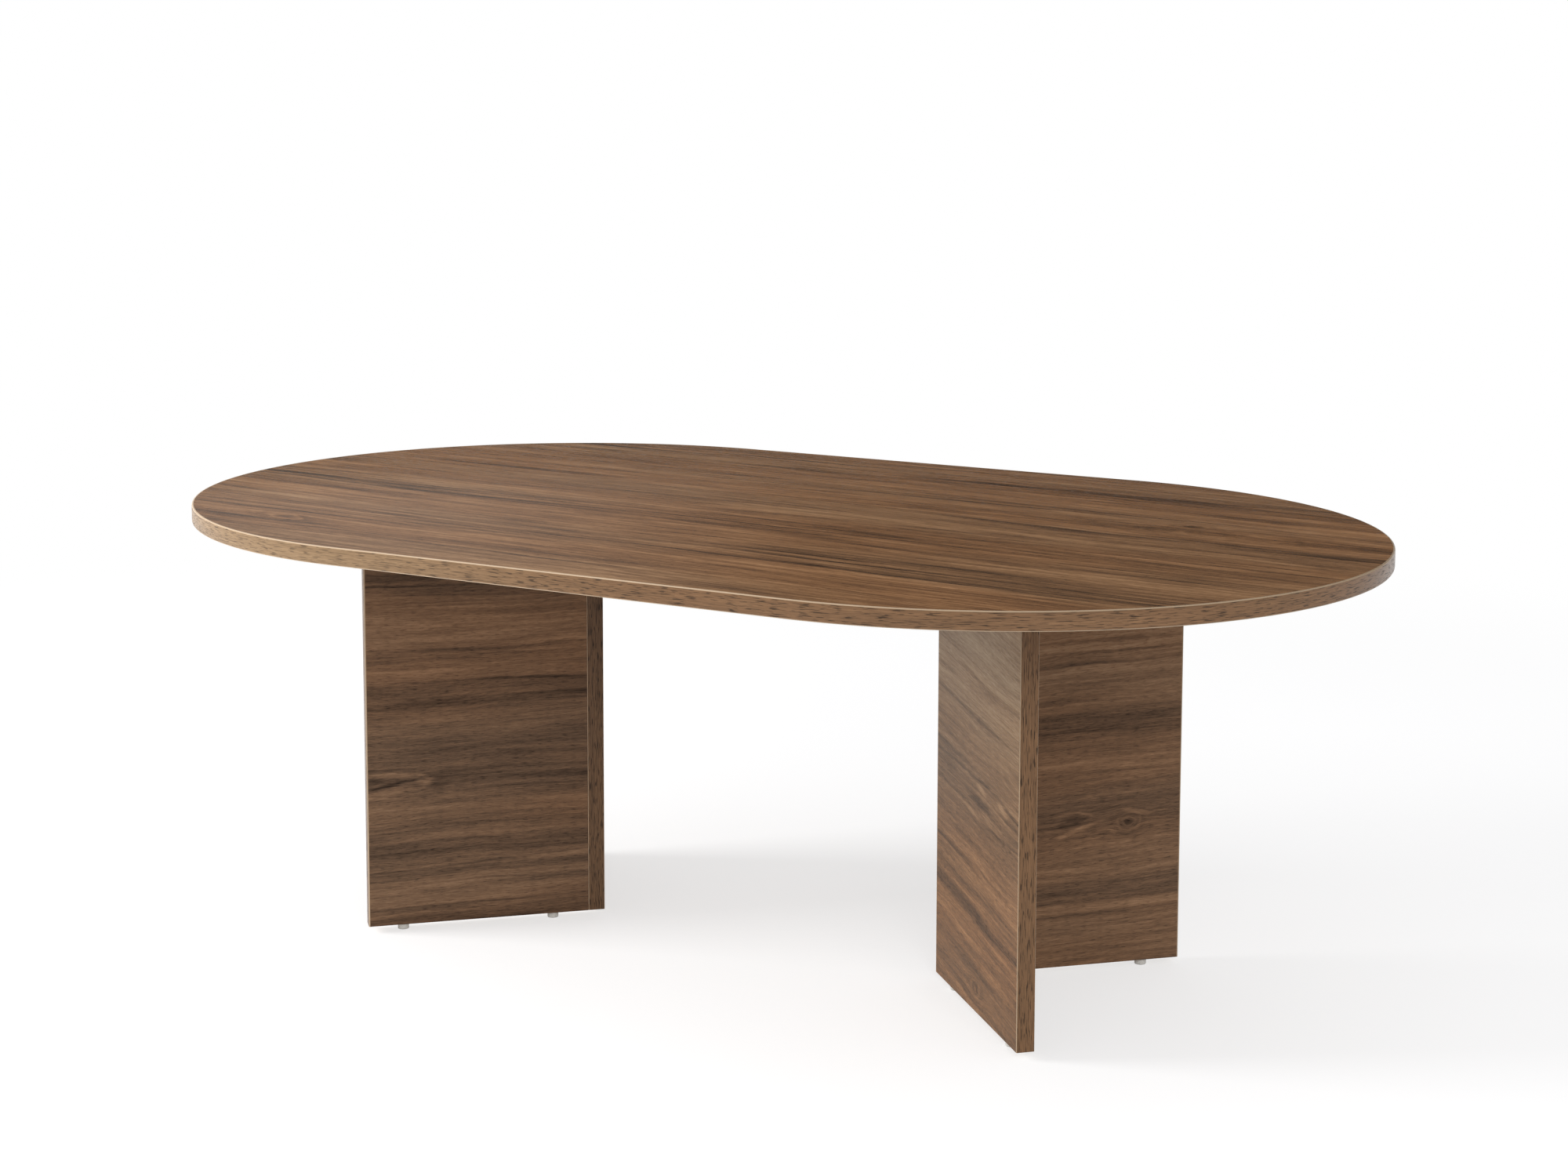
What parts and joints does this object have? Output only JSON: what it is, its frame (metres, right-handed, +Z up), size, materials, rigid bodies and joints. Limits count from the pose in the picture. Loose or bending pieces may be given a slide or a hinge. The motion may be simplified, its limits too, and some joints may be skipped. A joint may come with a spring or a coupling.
{
  "type": "coffee table",
  "caption": "Low coffee table with a capsule-shaped walnut-look top on V-shaped panel legs, joined by cam locks and dowels and standing on small plastic glides.",
  "frame": {"origin": "on the floor, under the middle of the table top", "axes": "+X along the top's length, +Y across it, +Z up"},
  "size_m": [1.3, 0.8, 0.466],
  "materials": {
    "walnut_top": "walnut decor on a furniture board, satin, grain along the top",
    "walnut_panel": "walnut decor on a furniture board, satin, grain level across the panel",
    "walnut_band": "printed walnut edge band, satin, grain along the band",
    "pale_plastic": "moulded pale grey plastic",
    "zinc": "bare die-cast zinc, dull",
    "steel": "zinc-plated steel",
    "beech": "raw beech"
  },
  "bodies": {
    "root": {"left_butt_cam_bolt_inner": "steel", "left_butt_cam_bolt_outer": "steel", "left_butt_cam_inner": "zinc", "left_butt_cam_outer": "zinc", "left_butt_dowel": "beech", "left_butt_foot_inner": "pale_plastic", "left_butt_foot_nail_inner": "steel", "left_butt_foot_nail_outer": "steel", "left_butt_foot_outer": "pale_plastic", "left_corner_cam_bolt_lower": "steel", "left_corner_cam_bolt_upper": "steel", "left_corner_cam_lower": "zinc", "left_corner_cam_upper": "zinc", "left_corner_dowel": "beech", "left_leg_butt_band_tip": "walnut_band", "left_leg_butt_panel": "walnut_panel", "left_leg_through_band_corner": "walnut_band", "left_leg_through_band_tip": "walnut_band", "left_leg_through_panel": "walnut_panel", "left_through_cam_bolt_inner": "steel", "left_through_cam_bolt_outer": "steel", "left_through_cam_inner": "zinc", "left_through_cam_outer": "zinc", "left_through_dowel": "beech", "left_through_foot_inner": "pale_plastic", "left_through_foot_nail_inner": "steel", "left_through_foot_nail_outer": "steel", "left_through_foot_outer": "pale_plastic", "right_butt_cam_bolt_inner": "steel", "right_butt_cam_bolt_outer": "steel", "right_butt_cam_inner": "zinc", "right_butt_cam_outer": "zinc", "right_butt_dowel": "beech", "right_butt_foot_inner": "pale_plastic", "right_butt_foot_nail_inner": "steel", "right_butt_foot_nail_outer": "steel", "right_butt_foot_outer": "pale_plastic", "right_corner_cam_bolt_lower": "steel", "right_corner_cam_bolt_upper": "steel", "right_corner_cam_lower": "zinc", "right_corner_cam_upper": "zinc", "right_corner_dowel": "beech", "right_leg_butt_band_tip": "walnut_band", "right_leg_butt_panel": "walnut_panel", "right_leg_through_band_corner": "walnut_band", "right_leg_through_band_tip": "walnut_band", "right_leg_through_panel": "walnut_panel", "right_through_cam_bolt_inner": "steel", "right_through_cam_bolt_outer": "steel", "right_through_cam_inner": "zinc", "right_through_cam_outer": "zinc", "right_through_dowel": "beech", "right_through_foot_inner": "pale_plastic", "right_through_foot_nail_inner": "steel", "right_through_foot_nail_outer": "steel", "right_through_foot_outer": "pale_plastic", "table_top": "walnut_top", "top_edge_band": "walnut_band"}
  },
  "joints": []
}
